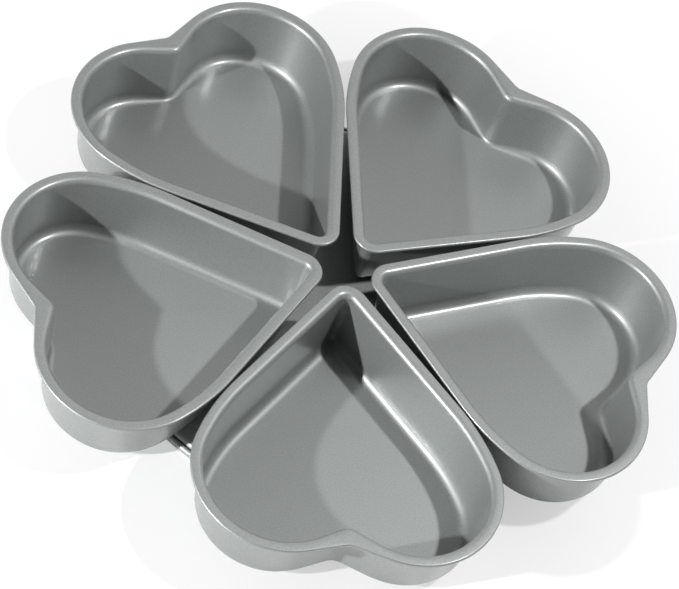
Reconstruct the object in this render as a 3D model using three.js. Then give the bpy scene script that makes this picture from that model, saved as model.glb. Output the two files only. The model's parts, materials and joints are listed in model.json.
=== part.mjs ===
// A set of five heart-shaped cake pans that stand on a round tray, their tips to the middle like
// petals. Each pan is drawn from one sheet of coated steel, with a flat flange, leaning walls and
// a flat floor. The tray is a shallow round one, turned upside down, with a rolled rim.
// Millimetres, +Z up. The origin is the centre of the ring on which the tray's rim stands.

import * as THREE from 'three';

const degree = Math.PI / 180;

// The set
const panCount = 5;
const flangeGap = 1.06; // between the flanges of two neighbours, where they come closest
const seatGap = 0.3; // between a pan's underside and the tray's top

// Heart outline of a pan, along the outer edge of its flange, from the tip round to the cleft
const tipRadius = 11.7;
const tipHalfAngle = 38.3 * degree;
const sideLength = 81; // straight part of a side
const shoulderRadius = 122.3; // gentle bend from the side to the lobe
const shoulderSweep = 18.3 * degree;
const lobeRadius = 47.2;
const edgeFlankLength = 19.7; // straight part of a lobe's flank, next to the cleft
const edgeCleftRadius = 7.8;

// Heart outline of a pan's opening, where it differs from the flange's
const openingFlankLength = 13.6;
const openingCleftRadius = 4.8;
const sharpestTipRadius = 2.2; // inside the pan, where the tip narrows towards the floor

// Section through a pan's wall, measured in from the flange's outer edge and down from its top
const panSheet = 0.9;
const panHeight = 40.4;
const flangeWidth = 4.3; // flat part, from the outer edge to the entry bend
const entryRadius = 1.6; // bend from the flange into the wall
const footInset = 9.2; // where the wall meets the bend into the floor
const floorBendRadius = 5.8;
const lipBendRadius = 0.8; // outer edge of the flange, turned down into a short lip
const lipHeight = 1.6;

// Tray
const traySheet = 0.9;
const trayHeight = 5.75;
const skirtRadius = 125.2; // outer face of its short skirt
const trayBendRadius = 3; // bend from the flat top into the skirt
const rollRadius = 2.15; // rolled rim, outside

// Fineness of the curves
const tipSteps = 4;
const shoulderSteps = 3;
const lobeSteps = 13;
const cleftSteps = 3;
const bendSteps = 3;
const smallBendSteps = 2;
const traySegments = 64;
const rollSteps = 10;
const rollStep = 30 * degree;

const panCoating = { color: 0x9aa1a3, roughness: 0.4, metalness: 0.75 };
const trayCoating = { color: 0x85898b, roughness: 0.42, metalness: 0.75 };

// Points on an arc, both ends included.
function arc(centre, radius, fromAngle, toAngle, steps) {
  const points = [];
  for (let i = 0; i <= steps; i += 1) {
    const angle = fromAngle + ((toAngle - fromAngle) * i) / steps;
    const direction = new THREE.Vector2(Math.cos(angle), Math.sin(angle));
    points.push(direction.multiplyScalar(radius).add(centre));
  }
  return points;
}

// Half of a heart that lies a set distance inside the flange's outer edge: the apex of the outer
// edge's tip is at zero, the cleft is on +X, and this half is on the +Y side.
function halfHeart({ inset, tip, flank, cleft }) {
  const sideNormal = Math.PI / 2 + tipHalfAngle;
  const sideDirection = new THREE.Vector2(Math.cos(tipHalfAngle), Math.sin(tipHalfAngle));
  const outwards = new THREE.Vector2(Math.cos(sideNormal), Math.sin(sideNormal));
  const lobeNormal = sideNormal - shoulderSweep;
  const lobeDirection = new THREE.Vector2(Math.cos(lobeNormal), Math.sin(lobeNormal));

  const edgeTipCentre = new THREE.Vector2(tipRadius, 0);
  const sideEnd = edgeTipCentre.clone().addScaledVector(outwards, tipRadius);
  sideEnd.addScaledVector(sideDirection, sideLength);
  const shoulderCentre = sideEnd.clone().addScaledVector(outwards, -shoulderRadius);
  const lobeCentre = shoulderCentre.clone().addScaledVector(lobeDirection, shoulderRadius - lobeRadius);

  // A tip that is blunter than a parallel one slides along the axis until it touches both sides.
  const tipShift = (tip - (tipRadius - inset)) / Math.sin(tipHalfAngle);
  const tipCentre = edgeTipCentre.clone().setX(tipRadius + tipShift);

  // The lobe ends where a straight flank and a cleft fillet centred on the axis can follow it.
  const reach = lobeRadius - inset + cleft;
  const lobeEnd = Math.atan2(flank, reach) - Math.asin(lobeCentre.y / Math.hypot(reach, flank));
  const lobeEndDirection = new THREE.Vector2(Math.cos(lobeEnd), Math.sin(lobeEnd));
  const flankDirection = new THREE.Vector2(lobeEndDirection.y, -lobeEndDirection.x);
  const cleftCentre = lobeCentre.clone().addScaledVector(lobeEndDirection, reach);
  cleftCentre.addScaledVector(flankDirection, flank);

  return [
    ...arc(tipCentre, tip, Math.PI, sideNormal, tipSteps),
    ...arc(shoulderCentre, shoulderRadius - inset, sideNormal, lobeNormal, shoulderSteps),
    ...arc(lobeCentre, lobeRadius - inset, lobeNormal, lobeEnd, lobeSteps).slice(1),
    ...arc(cleftCentre, cleft, lobeEnd + Math.PI, Math.PI, cleftSteps),
  ];
}

// The whole heart, counter-clockwise seen from above, as a ring of points at one height.
function heartRing(outline, height) {
  const half = halfHeart(outline);
  const otherHalf = half.slice(1, -1).reverse();
  const points = [
    ...half.map((p) => new THREE.Vector3(p.x, -p.y, height)),
    ...otherHalf.map((p) => new THREE.Vector3(p.x, p.y, height)),
  ];
  return points;
}

// Outlines parallel to the flange's edge, and outlines parallel to the opening.
function edgeOutline(inset) {
  return { inset, tip: tipRadius - inset, flank: edgeFlankLength, cleft: edgeCleftRadius + inset };
}

function wallOutline(inset, sheetBehind) {
  return {
    inset,
    tip: Math.max(tipRadius - inset, sharpestTipRadius + sheetBehind),
    flank: openingFlankLength,
    cleft: openingCleftRadius + inset - flangeWidth,
  };
}

// A bend in the pan's section: (inset, height) pairs on an arc.
function bend(centreInset, centreHeight, radius, fromAngle, toAngle, steps) {
  return arc(new THREE.Vector2(centreInset, centreHeight), radius, fromAngle, toAngle, steps);
}

// The rings of a pan, from the middle of its floor up the inside, over the flange and down outside.
function panRings() {
  const footHeight = panSheet + floorBendRadius;
  const floorInset = footInset + floorBendRadius;
  const inwards = 0; // directions in the section
  const up = 90 * degree;
  const outwards = 180 * degree;
  const down = 270 * degree;
  const inside = [
    ...bend(floorInset, footHeight, floorBendRadius, down, outwards, bendSteps),
    ...bend(flangeWidth, panHeight - entryRadius, entryRadius, inwards, up, smallBendSteps),
  ];
  const edge = [
    ...bend(lipBendRadius, panHeight - lipBendRadius, lipBendRadius, up, outwards, smallBendSteps),
    new THREE.Vector2(0, panHeight - lipHeight),
    new THREE.Vector2(panSheet, panHeight - lipHeight),
    new THREE.Vector2(panSheet, panHeight - panSheet),
  ];
  const outside = [
    ...bend(flangeWidth, panHeight - entryRadius, entryRadius - panSheet, up, inwards, 1),
    ...bend(floorInset, footHeight, floorBendRadius + panSheet, outwards, down, bendSteps),
  ];
  return [
    ...inside.map((p) => heartRing(wallOutline(p.x, 0), p.y)),
    ...edge.map((p) => heartRing(edgeOutline(p.x), p.y)),
    ...outside.map((p) => heartRing(wallOutline(p.x, panSheet), p.y)),
  ];
}

// A closed body through a row of rings that all have as many points, with both ends filled.
function loft(rings) {
  const points = rings.flat();
  const size = rings[0].length;
  const indices = [];
  for (let r = 0; r + 1 < rings.length; r += 1) {
    for (let i = 0; i < size; i += 1) {
      const next = (i + 1) % size;
      const a = r * size + i;
      const b = r * size + next;
      indices.push(a, a + size, b + size, a, b + size, b);
    }
  }
  fillEnd(rings[0], 0, points, indices, false);
  fillEnd(rings.at(-1), (rings.length - 1) * size, points, indices, true);
  const geometry = new THREE.BufferGeometry().setFromPoints(points);
  geometry.setIndex(indices);
  geometry.computeVertexNormals();
  return geometry;
}

// Fills a flat ring with triangles between its own points.
function fillEnd(ring, start, points, indices, flipped) {
  const flat = ring.map((p) => new THREE.Vector2(p.x, p.y));
  for (const [a, b, c] of THREE.ShapeUtils.triangulateShape(flat, [])) {
    indices.push(start + a, start + (flipped ? c : b), start + (flipped ? b : c));
  }
}

// How far a pan's tip stays from the middle, so that its flange clears the line between two pans.
function tipDistance() {
  const halfTurn = Math.PI / panCount;
  const needed = halfHeart(edgeOutline(0)).map(
    (p) => (flangeGap / 2 + p.y * Math.cos(halfTurn)) / Math.sin(halfTurn) - p.x,
  );
  return Math.max(...needed);
}

function makePan(name, turn) {
  const pan = new THREE.Mesh(panGeometry, new THREE.MeshStandardMaterial(panCoating));
  const distance = tipDistance();
  pan.name = name;
  pan.position.set(distance * Math.cos(turn), distance * Math.sin(turn), trayHeight + seatGap);
  pan.rotation.z = turn;
  return pan;
}

// Half section of the tray: the flat top, the bend, the skirt and the sheet's rolled edge, which
// starts at the skirt, runs under it and comes back up outside, then the same way back inside.
function trayProfile() {
  const bendCentre = new THREE.Vector2(skirtRadius - trayBendRadius, trayHeight - trayBendRadius);
  const rollHeight = rollRadius * Math.cos(rollStep / 2); // it stands on a flat facet
  const rollCentre = new THREE.Vector2(skirtRadius - traySheet + rollRadius, rollHeight);
  const skirtSide = 180 * degree;
  const roll = [skirtSide];
  for (let i = 0; i < rollSteps; i += 1) {
    roll.push(skirtSide + (i + 1 / 2) * rollStep);
  }
  const onRoll = (radius) => (angle) =>
    new THREE.Vector2(Math.cos(angle), Math.sin(angle)).multiplyScalar(radius).add(rollCentre);
  return [
    new THREE.Vector2(0, trayHeight),
    ...arc(bendCentre, trayBendRadius, Math.PI / 2, 0, bendSteps),
    ...roll.map(onRoll(rollRadius - traySheet)),
    ...roll.map(onRoll(rollRadius)).reverse(),
    ...arc(bendCentre, trayBendRadius - traySheet, 0, Math.PI / 2, bendSteps),
    new THREE.Vector2(0, trayHeight - traySheet),
  ];
}

function makeTray() {
  const geometry = new THREE.LatheGeometry(trayProfile().reverse(), traySegments);
  geometry.rotateX(Math.PI / 2);
  const tray = new THREE.Mesh(geometry, new THREE.MeshStandardMaterial(trayCoating));
  tray.name = 'tray';
  return tray;
}

const panGeometry = loft(panRings());

// The front pan's cleft faces -Y, and the others follow counter-clockwise.
const panNames = ['pan_front', 'pan_right_front', 'pan_right_back', 'pan_left_back', 'pan_left_front'];
const heartPanSet = new THREE.Group();
heartPanSet.add(makeTray());
for (let i = 0; i < panCount; i += 1) {
  const turn = -Math.PI / 2 + (i * 2 * Math.PI) / panCount;
  heartPanSet.add(makePan(panNames[i] ?? `pan_${i + 1}`, turn));
}

export default heartPanSet;
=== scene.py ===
import json
import math

import bmesh
import bpy
from mathutils import Matrix, Vector

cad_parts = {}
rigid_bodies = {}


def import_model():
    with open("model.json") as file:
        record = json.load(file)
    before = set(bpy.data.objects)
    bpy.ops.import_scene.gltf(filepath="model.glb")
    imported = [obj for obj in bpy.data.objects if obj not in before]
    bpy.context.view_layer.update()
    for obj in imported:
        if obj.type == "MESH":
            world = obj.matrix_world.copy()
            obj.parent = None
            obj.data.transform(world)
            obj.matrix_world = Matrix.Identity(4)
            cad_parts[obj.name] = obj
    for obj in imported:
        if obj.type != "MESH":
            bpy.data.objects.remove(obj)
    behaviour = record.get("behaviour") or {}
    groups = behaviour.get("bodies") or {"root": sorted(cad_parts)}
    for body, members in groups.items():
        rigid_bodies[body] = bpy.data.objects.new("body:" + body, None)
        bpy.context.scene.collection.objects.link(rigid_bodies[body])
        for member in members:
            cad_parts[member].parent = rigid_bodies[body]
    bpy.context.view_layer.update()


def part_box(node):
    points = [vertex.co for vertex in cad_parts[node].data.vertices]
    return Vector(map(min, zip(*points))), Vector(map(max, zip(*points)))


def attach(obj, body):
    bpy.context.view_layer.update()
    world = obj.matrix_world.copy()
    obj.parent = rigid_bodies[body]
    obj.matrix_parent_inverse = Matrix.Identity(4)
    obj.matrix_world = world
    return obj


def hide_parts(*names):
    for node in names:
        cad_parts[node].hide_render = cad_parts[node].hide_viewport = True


# Five heart-shaped cake pans that stand on an upturned round tray, their tips to the middle.
# Metres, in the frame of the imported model: the origin is the middle of the tray, at table height.
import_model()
mm = 0.001
panNodes = ["pan_front", "pan_right_front", "pan_right_back", "pan_left_back", "pan_left_front"]


# Small helpers

def deselectAll():
    for other in bpy.context.view_layer.objects:
        other.select_set(False)


def makeActive(piece):
    deselectAll()
    piece.select_set(True)
    bpy.context.view_layer.objects.active = piece


def arcPoints(centre, radius, fromAngle, toAngle, steps):
    points = []
    for i in range(steps + 1):
        angle = fromAngle + (toAngle - fromAngle) * i / steps
        points.append(centre + radius * Vector((math.cos(angle), math.sin(angle))))
    return points


def applyModifier(piece, kind, **settings):
    makeActive(piece)
    modifier = piece.modifiers.new(kind.lower(), kind)
    for name, value in settings.items():
        setattr(modifier, name, value)
    bpy.ops.object.modifier_apply(modifier=modifier.name)


# Materials

def colour(hexValue):
    # An sRGB hex value as a linear colour.
    channels = []
    for i in (0, 2, 4):
        share = int(hexValue[i:i + 2], 16) / 255
        channels.append(share / 12.92 if share <= 0.04045 else ((share + 0.055) / 1.055) ** 2.4)
    return (*channels, 1)


def addNode(tree, kind, settings=None, links=None, **properties):
    node = tree.nodes.new(kind)
    for name, value in properties.items():
        setattr(node, name, value)
    for name, value in (settings or {}).items():
        node.inputs[name].default_value = value
    for name, source in (links or {}).items():
        tree.links.new(source, node.inputs[name])
    return node


panFinish = {
    "flake": "a1a5a4",
    "darkFlake": "909493",
    "darkBelow": 0.35,         # grain values under this are all dark flake
    "lightAbove": 0.65,
    "metallic": 0.7,
    "roughness": 0.55,
    "roughnessSpread": 0.05,
    "clearCoat": 1.0,
    "coatRoughness": 0.22,
    "grainSize": 0.7 * mm,     # real flakes are finer, drawn as coarse as they need to show
    "grainDetail": 3,
    "grainRoughness": 0.7,
    "orangePeel": 3.0 * mm,    # slow unevenness that a sprayed and baked coating keeps
    "orangePeelDetail": 2,
    "bump": 0.02 * mm,
    "bumpStrength": 0.5,
}
trayFinish = dict(panFinish, flake="aeb2b1", darkFlake="9ca09f")   # a little paler


def bakedCoating(name, finish):
    # Silicone non-stick coating with aluminium flake, sprayed on steel and baked: a satin silver
    # grey with a fine speckle, whose highlights are soft but still follow the bends.
    material = bpy.data.materials.new(name)
    material.use_nodes = True
    tree = material.node_tree
    shader = tree.nodes["Principled BSDF"]
    shader.inputs["Metallic"].default_value = finish["metallic"]
    shader.inputs["Coat Weight"].default_value = finish["clearCoat"]
    shader.inputs["Coat Roughness"].default_value = finish["coatRoughness"]
    place = addNode(tree, "ShaderNodeTexCoord")
    flakes = addNode(
        tree, "ShaderNodeTexNoise",
        {
            "Scale": 1 / finish["grainSize"], "Detail": finish["grainDetail"],
            "Roughness": finish["grainRoughness"],
        },
        {"Vector": place.outputs["Object"]},
    )
    clouds = addNode(
        tree, "ShaderNodeTexNoise",
        {"Scale": 1 / finish["orangePeel"], "Detail": finish["orangePeelDetail"]},
        {"Vector": place.outputs["Object"]},
    )
    speckle = addNode(tree, "ShaderNodeValToRGB", links={"Fac": flakes.outputs["Fac"]})
    speckle.color_ramp.elements[0].position = finish["darkBelow"]
    speckle.color_ramp.elements[0].color = colour(finish["darkFlake"])
    speckle.color_ramp.elements[1].position = finish["lightAbove"]
    speckle.color_ramp.elements[1].color = colour(finish["flake"])
    tree.links.new(speckle.outputs["Color"], shader.inputs["Base Color"])
    gloss = addNode(
        tree, "ShaderNodeMapRange",
        {
            "To Min": finish["roughness"] - finish["roughnessSpread"],
            "To Max": finish["roughness"] + finish["roughnessSpread"],
        },
        {"Value": flakes.outputs["Fac"]},
    )
    tree.links.new(gloss.outputs["Result"], shader.inputs["Roughness"])
    surface = addNode(
        tree, "ShaderNodeBump", {"Strength": finish["bumpStrength"], "Distance": finish["bump"]},
        {"Height": clouds.outputs["Fac"]},
    )
    tree.links.new(surface.outputs["Normal"], shader.inputs["Normal"])
    return material


# Pans

frontLow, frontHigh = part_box("pan_front")
pan = {
    # Heart outline along the flange's outer edge, from the tip round to the cleft
    "tipRadius": 11.7 * mm,
    "tipHalfAngle": math.radians(38.3),
    "sideLength": 81 * mm,
    "shoulderRadius": 122.3 * mm,
    "shoulderSweep": math.radians(18.3),
    "lobeRadius": 47.2 * mm,
    "edgeFlank": 19.7 * mm,    # straight run from the lobe to the cleft
    "edgeCleft": 7.8 * mm,     # radius of the cleft
    # Where the opening's outline differs from the flange's
    "openingFlank": 13.6 * mm,
    "openingCleft": 4.8 * mm,
    "openingInset": 4.3 * mm,  # where the opening's cleft has that radius
    "sharpestTip": 2.2 * mm,   # the opening's tip gets no smaller radius than this
    # Section through the wall
    "sheet": 0.9 * mm,
    "flange": 3.55 * mm,
    "entryRadius": 3.4 * mm,
    "footInset": 9.2 * mm,
    "floorBend": 5.8 * mm,
    "cleftBend": 2.6 * mm,     # the bend into the floor is tighter at the cleft
    "cleftReach": 28 * mm,     # and back to the usual one at this distance from it
    "lipBend": 1.1 * mm,
    "lipHeight": 1.6 * mm,
    "edgeRound": 0.2 * mm,
    "edgeSegments": 3,
    "sharpFrom": math.radians(60),    # edges that turn more than this are rounded
    "support": 0.5 * mm,       # narrow strips that keep the flats flat next to a bend
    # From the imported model
    "tipDistance": -frontHigh.y,
    "seat": frontLow.z,
    "height": frontHigh.z - frontLow.z,
}
panSteps = {    # straight pieces in each curve
    "tip": 12,
    "shoulder": 10,
    "lobe": 44,
    "cleft": 12,
    "bend": 9,
    "smallBend": 8,
}


def halfHeart(inset, tip, flank, cleft):
    # One half of a heart that runs parallel to the flange's edge at the given inset. The apex of
    # the edge's tip is at zero and the cleft is on +X.
    sideNormal = math.pi / 2 + pan["tipHalfAngle"]
    lobeNormal = sideNormal - pan["shoulderSweep"]
    outwards = Vector((math.cos(sideNormal), math.sin(sideNormal)))
    along = Vector((outwards.y, -outwards.x))
    toLobe = Vector((math.cos(lobeNormal), math.sin(lobeNormal)))
    sideEnd = Vector((pan["tipRadius"], 0)) + outwards * pan["tipRadius"] + along * pan["sideLength"]
    shoulderCentre = sideEnd - outwards * pan["shoulderRadius"]
    lobeCentre = shoulderCentre + toLobe * (pan["shoulderRadius"] - pan["lobeRadius"])

    # A tip that is blunter than a parallel one slides along the axis until it touches both sides.
    tipShift = (tip - (pan["tipRadius"] - inset)) / math.sin(pan["tipHalfAngle"])
    tipCentre = Vector((pan["tipRadius"] + tipShift, 0))

    # The lobe ends where a straight flank and a cleft that is centred on the axis can follow it.
    reach = pan["lobeRadius"] - inset + cleft
    lobeEnd = math.atan2(flank, reach) - math.asin(lobeCentre.y / math.hypot(reach, flank))
    lobeEndNormal = Vector((math.cos(lobeEnd), math.sin(lobeEnd)))
    flankAlong = Vector((lobeEndNormal.y, -lobeEndNormal.x))
    cleftCentre = lobeCentre + lobeEndNormal * reach + flankAlong * flank

    shoulder = pan["shoulderRadius"] - inset
    lobe = pan["lobeRadius"] - inset
    return (
        arcPoints(tipCentre, tip, math.pi, sideNormal, panSteps["tip"])
        + arcPoints(shoulderCentre, shoulder, sideNormal, lobeNormal, panSteps["shoulder"])
        + arcPoints(lobeCentre, lobe, lobeNormal, lobeEnd, panSteps["lobe"])[1:]
        + arcPoints(cleftCentre, cleft, lobeEnd + math.pi, math.pi, panSteps["cleft"])
    )


def heartRing(inset, height, alongEdge=False):
    # A whole heart at one height, with its cleft towards -Y, as the front pan stands.
    if alongEdge:
        half = halfHeart(inset, pan["tipRadius"] - inset, pan["edgeFlank"], pan["edgeCleft"] + inset)
    else:
        tip = max(pan["tipRadius"] - inset, pan["sharpestTip"])
        cleft = pan["openingCleft"] + inset - pan["openingInset"]
        half = halfHeart(inset, tip, pan["openingFlank"], cleft)
    across = [(-p.y, p.x) for p in half] + [(p.y, p.x) for p in half[-2:0:-1]]
    return [Vector((x, -pan["tipDistance"] - y, pan["seat"] + height)) for x, y in across]


def wallSection(floorRadius):
    # Inset and height of the wall's upper side, from the floor to the flange.
    foot = Vector((pan["footInset"] + floorRadius, pan["sheet"] + floorRadius))
    entry = Vector((pan["flange"], pan["height"] - pan["entryRadius"]))
    inwards, up, outwards, down = (math.radians(angle) for angle in (0, 90, 180, 270))
    floorBend = arcPoints(foot, floorRadius, down, outwards, panSteps["bend"])
    entryBend = arcPoints(entry, pan["entryRadius"], inwards, up, panSteps["smallBend"])
    wall = (entryBend[0] - floorBend[-1]).normalized() * pan["support"]
    return (
        [floorBend[0] + Vector((pan["support"], 0))]
        + floorBend
        + [floorBend[-1] + wall, entryBend[0] - wall]
        + entryBend
    )


def tighterAtCleft(usual, tight):
    # Goes over from one ring to the other towards the cleft, which is half-way round.
    cleft = usual[len(usual) // 2]
    ring = []
    for place, other in zip(usual, tight):
        near = max(0, 1 - (place - cleft).length / pan["cleftReach"])
        ring.append(place.lerp(other, near * near * (3 - 2 * near)))   # eased at both ends
    return ring


def panLevels():
    # Rings of the pan's upper side, from the floor up the wall and out to the lip's lower edge.
    rings = []
    for p, q in zip(wallSection(pan["floorBend"]), wallSection(pan["cleftBend"])):
        rings.append(tighterAtCleft(heartRing(p.x, p.y), heartRing(q.x, q.y)))
    lip = Vector((pan["lipBend"], pan["height"] - pan["lipBend"]))
    lipBend = arcPoints(lip, pan["lipBend"], math.pi / 2, math.pi, panSteps["smallBend"])
    edgeSide = lipBend + [Vector((0, pan["height"] - pan["lipHeight"]))]
    return rings + [heartRing(p.x, p.y, alongEdge=True) for p in edgeSide]


def layRing(piece, ring):
    # Lays the selected vertices on a ring: each knows its place round the heart.
    mesh = bmesh.from_edit_mesh(piece.data)
    turn = mesh.verts.layers.int["turn"]
    for vertex in mesh.verts:
        if vertex.select:
            vertex.co = ring[vertex[turn]]
    bmesh.update_edit_mesh(piece.data)


def drawHeartPan():
    levels = panLevels()
    bpy.ops.mesh.primitive_circle_add(vertices=len(levels[0]), radius=pan["lobeRadius"])
    piece = bpy.context.object
    makeActive(piece)
    turn = piece.data.attributes.new("turn", "INT", "POINT")
    for i, place in enumerate(turn.data):
        place.value = i
    bpy.ops.object.mode_set(mode="EDIT")
    bpy.ops.mesh.select_all(action="SELECT")
    layRing(piece, levels[0])
    bpy.ops.mesh.edge_face_add()
    for ring in levels[1:]:
        bpy.ops.mesh.extrude_edges_move()
        layRing(piece, ring)
    bpy.ops.mesh.select_all(action="SELECT")
    bpy.ops.mesh.normals_make_consistent(inside=False)
    bpy.ops.object.mode_set(mode="OBJECT")
    floor = max(piece.data.polygons, key=lambda face: len(face.vertices))
    if floor.normal.z < 0:
        piece.data.flip_normals()
    piece.data.attributes.remove(piece.data.attributes["turn"])
    applyModifier(
        piece, "SOLIDIFY", thickness=pan["sheet"], offset=-1,
        use_even_offset=True, use_quality_normals=True,
    )
    applyModifier(
        piece, "BEVEL", width=pan["edgeRound"], segments=pan["edgeSegments"],
        limit_method="ANGLE", angle_limit=pan["sharpFrom"],
    )
    makeActive(piece)
    bpy.ops.object.shade_smooth()
    return piece


def makePans():
    coating = bakedCoating("silver flake non-stick coating", panFinish)
    first = drawHeartPan()
    first.data.materials.append(coating)
    for i, node in enumerate(panNodes):
        piece = first.copy()
        piece.data = first.data.copy()
        bpy.context.collection.objects.link(piece)
        piece.data.transform(Matrix.Rotation(i * math.tau / len(panNodes), 4, "Z"))
        piece.name = "heart_" + node
        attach(piece, node)
        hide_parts(node)
    bpy.data.objects.remove(first)
    print("pans done:", len(panNodes))


# Tray

trayLow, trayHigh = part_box("tray")
tray = {
    "sheet": 0.9 * mm,
    "height": trayHigh.z,
    "skirtRadius": 125.2 * mm,
    "bend": 3 * mm,
    "roll": 2.15 * mm,         # outer radius of the rolled rim
    "rollSweep": math.radians(285),
    "support": 0.5 * mm,       # narrow strip that keeps the top flat next to the bend
    "turns": 160,              # vertices round the tray
}
traySteps = {"bend": 8, "roll": 22}


def trayProfile():
    # Upper side of the sheet, as radius and height, from the flat top into the rolled rim.
    bendCentre = Vector((tray["skirtRadius"] - tray["bend"], tray["height"] - tray["bend"]))
    rollCentre = Vector((tray["skirtRadius"] - tray["sheet"] + tray["roll"], tray["roll"]))
    rollInside = tray["roll"] - tray["sheet"]
    bend = arcPoints(bendCentre, tray["bend"], math.pi / 2, 0, traySteps["bend"])
    roll = arcPoints(rollCentre, rollInside, math.pi, math.pi + tray["rollSweep"], traySteps["roll"])
    return [bend[0] - Vector((tray["support"], 0))] + bend + roll


def makeTray():
    profile = trayProfile()
    bpy.ops.mesh.primitive_circle_add(
        vertices=tray["turns"], radius=profile[0].x, fill_type="NGON", location=(0, 0, profile[0].y)
    )
    piece = bpy.context.object
    makeActive(piece)
    bpy.ops.object.transform_apply(location=True, rotation=True, scale=True)
    bpy.ops.object.mode_set(mode="EDIT")
    bpy.ops.mesh.select_all(action="SELECT")
    bpy.ops.mesh.region_to_loop()
    for before, after in zip(profile, profile[1:]):
        bpy.ops.mesh.extrude_edges_move()
        wider = after.x / before.x
        bpy.ops.transform.resize(value=(wider, wider, 1), center_override=(0, 0, 0))
        bpy.ops.transform.translate(value=(0, 0, after.y - before.y))
    bpy.ops.mesh.select_all(action="SELECT")
    bpy.ops.mesh.normals_make_consistent(inside=False)
    bpy.ops.object.mode_set(mode="OBJECT")
    top = max(piece.data.polygons, key=lambda face: len(face.vertices))
    if top.normal.z < 0:
        piece.data.flip_normals()
    applyModifier(
        piece, "SOLIDIFY", thickness=tray["sheet"], offset=-1,
        use_even_offset=True, use_quality_normals=True,
    )
    makeActive(piece)
    bpy.ops.object.shade_smooth()
    piece.name = "round_tray"
    piece.data.materials.append(bakedCoating("grey flake non-stick coating", trayFinish))
    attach(piece, "tray")
    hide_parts("tray")
    print("tray done")


# Camera, fitted to the five rims

cameraView = {
    "elevation": math.radians(52.76),
    "turn": math.radians(-17.9),   # about the set's axis
    "roll": math.radians(-21.67),
    "distance": 1.3852,
    "right": 0.0042,               # how far the set's axis lies right of the picture's middle
    "up": 0.01688,                 # and above it
    "focalPixels": 2601,
    "pixelsAcross": 679,
    "sensorWidth": 36,             # in millimetres, as Blender takes it
}


def placeCamera():
    rise, roll = cameraView["elevation"], cameraView["roll"]
    level = Vector((1, 0, 0))
    upright = Vector((0, math.sin(rise), math.cos(rise)))
    backwards = Vector((0, -math.cos(rise), math.sin(rise)))
    rightwards = math.cos(roll) * level - math.sin(roll) * upright
    upwards = math.sin(roll) * level + math.cos(roll) * upright
    aside = cameraView["right"] * rightwards + cameraView["up"] * upwards
    place = cameraView["distance"] * backwards - aside
    axes = Matrix((rightwards, upwards, backwards)).transposed().to_4x4()
    lens = bpy.data.cameras.new("camera")
    lens.sensor_width = cameraView["sensorWidth"]
    lens.lens = lens.sensor_width * cameraView["focalPixels"] / cameraView["pixelsAcross"]
    camera = bpy.data.objects.new("camera", lens)
    bpy.context.collection.objects.link(camera)
    rimMiddle = Matrix.Translation((0, 0, frontHigh.z))
    around = Matrix.Rotation(cameraView["turn"], 4, "Z")
    camera.matrix_world = rimMiddle @ around @ Matrix.Translation(place) @ axes
    bpy.context.scene.camera = camera
    print("camera done")


# Floor and light

studio = {
    "floorRadius": 6,
    "floorSides": 64,
    "paper": "f4f4f4",
    "paperRoughness": 0.9,
    "seenNear": 0.5,               # how much of the paper's white doesn't depend on its light
    "mirroredNear": 0,             # the same for the paper that the coating mirrors
    "fadeFrom": 0.12,              # beyond this distance from the middle both shares grow
    "fadeTo": 0.28,                # and from here on the paper is all white
    "keyPlace": (0.606, -0.059, 1.163),    # above at the right
    "keyRadius": 0.03,
    "keyPower": 40.0,
    "sidePlace": (-1.116, -0.575, 0.65),   # low at the left
    "sideRadius": 0.022,
    "sidePower": 99.0,
    "wallMiddle": (0.304, 0.937, 0.174),   # towards the brightest part of the pale far side
    "wallFalloff": 2,              # the higher, the narrower that part
    "horizonFrom": 0.12,           # sine of the height up to which the surroundings are white
    "horizonTo": 0.25,             # and of the height at which that white has faded
}


def shareOfWhite(tree, distance, near, rays):
    # For the given rays, how much of the paper's white doesn't depend on its light.
    grown = addNode(
        tree, "ShaderNodeMapRange",
        {
            "From Min": studio["fadeFrom"], "From Max": studio["fadeTo"],
            "To Min": near, "To Max": 1,
        },
        {"Value": distance}, interpolation_type="SMOOTHSTEP",
    )
    share = addNode(
        tree, "ShaderNodeMath", links={0: grown.outputs["Result"], 1: rays}, operation="MULTIPLY"
    )
    return share.outputs["Value"]


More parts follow.
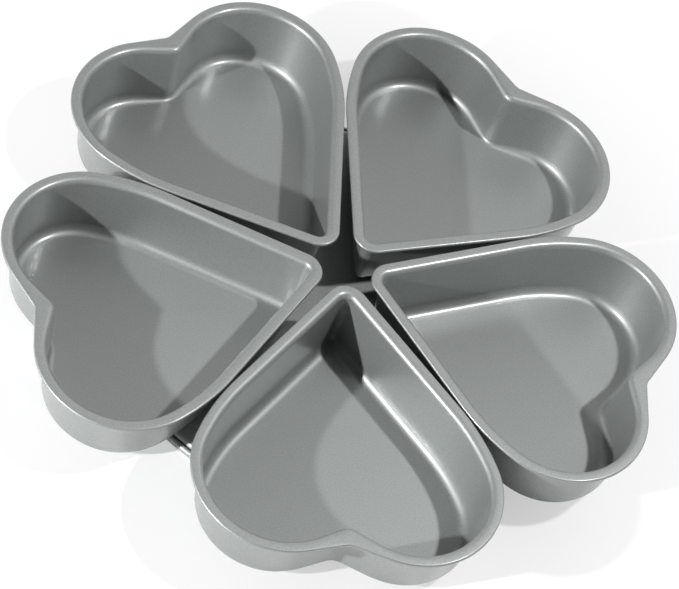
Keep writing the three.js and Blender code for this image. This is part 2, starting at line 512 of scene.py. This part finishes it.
def whitePaper():
    # Matt white paper, overexposed as in a catalogue picture. Near the set its shadows stay, weaker
    # to the eye than in the coating's reflections, and away from the set it is all white.
    paper = bpy.data.materials.new("white paper")
    paper.use_nodes = True
    tree = paper.node_tree
    shader = tree.nodes["Principled BSDF"]
    shader.inputs["Base Color"].default_value = colour(studio["paper"])
    shader.inputs["Roughness"].default_value = studio["paperRoughness"]
    place = addNode(tree, "ShaderNodeTexCoord")
    away = addNode(
        tree, "ShaderNodeVectorMath", links={0: place.outputs["Object"]}, operation="LENGTH"
    )
    rays = addNode(tree, "ShaderNodeLightPath")
    mirrored = addNode(
        tree, "ShaderNodeMath",
        links={0: rays.outputs["Is Glossy Ray"], 1: rays.outputs["Is Transmission Ray"]},
        operation="MAXIMUM",
    )
    distance = away.outputs["Value"]
    seenShare = shareOfWhite(tree, distance, studio["seenNear"], rays.outputs["Is Camera Ray"])
    mirroredShare = shareOfWhite(tree, distance, studio["mirroredNear"], mirrored.outputs["Value"])
    share = addNode(
        tree, "ShaderNodeMath", links={0: seenShare, 1: mirroredShare}, operation="MAXIMUM"
    )
    white = addNode(tree, "ShaderNodeEmission", {"Color": (1, 1, 1, 1), "Strength": 1})
    both = addNode(
        tree, "ShaderNodeMixShader",
        links={0: share.outputs["Value"], 1: shader.outputs["BSDF"], 2: white.outputs["Emission"]},
    )
    tree.links.new(both.outputs["Shader"], tree.nodes["Material Output"].inputs["Surface"])
    return paper


def makeFloor():
    bpy.ops.mesh.primitive_circle_add(
        vertices=studio["floorSides"], radius=studio["floorRadius"], fill_type="NGON",
        location=(0, 0, trayLow.z),
    )
    floor = bpy.context.object
    floor.name = "floor"
    floor.data.materials.append(whitePaper())
    print("floor done")


def addLamp(name):
    light = bpy.data.lights.new(name, "POINT")
    light.energy = studio[name + "Power"]
    light.shadow_soft_size = studio[name + "Radius"]
    lamp = bpy.data.objects.new(name, light)
    lamp.location = studio[name + "Place"]
    bpy.context.collection.objects.link(lamp)


def lightStudio():
    world = bpy.data.worlds.new("studio")
    bpy.context.scene.world = world
    world.use_nodes = True
    tree = world.node_tree
    background = tree.nodes["Background"]
    background.inputs["Color"].default_value = (1, 1, 1, 1)
    direction = addNode(tree, "ShaderNodeTexCoord")
    height = addNode(tree, "ShaderNodeSeparateXYZ", links={"Vector": direction.outputs["Generated"]})
    horizon = addNode(
        tree, "ShaderNodeMapRange",
        {
            "From Min": studio["horizonFrom"], "From Max": studio["horizonTo"],
            "To Min": 1, "To Max": 0,
        },
        {"Value": height.outputs["Z"]},
    )
    wall = addNode(
        tree, "ShaderNodeVectorMath", {1: studio["wallMiddle"]}, {0: direction.outputs["Generated"]},
        operation="DOT_PRODUCT",
    )
    facing = addNode(
        tree, "ShaderNodeMath", {1: 0}, {0: wall.outputs["Value"]}, operation="MAXIMUM"
    )
    glow = addNode(
        tree, "ShaderNodeMath", {1: studio["wallFalloff"]}, {0: facing.outputs["Value"]},
        operation="POWER",
    )
    strength = addNode(
        tree, "ShaderNodeMath", links={0: horizon.outputs["Result"], 1: glow.outputs["Value"]},
        operation="MAXIMUM",
    )
    tree.links.new(strength.outputs["Value"], background.inputs["Strength"])
    addLamp("key")
    addLamp("side")
    bpy.context.scene.view_settings.view_transform = "Standard"
    print("studio done")


placeCamera()
deselectAll()
makePans()
makeTray()
makeFloor()
lightStudio()
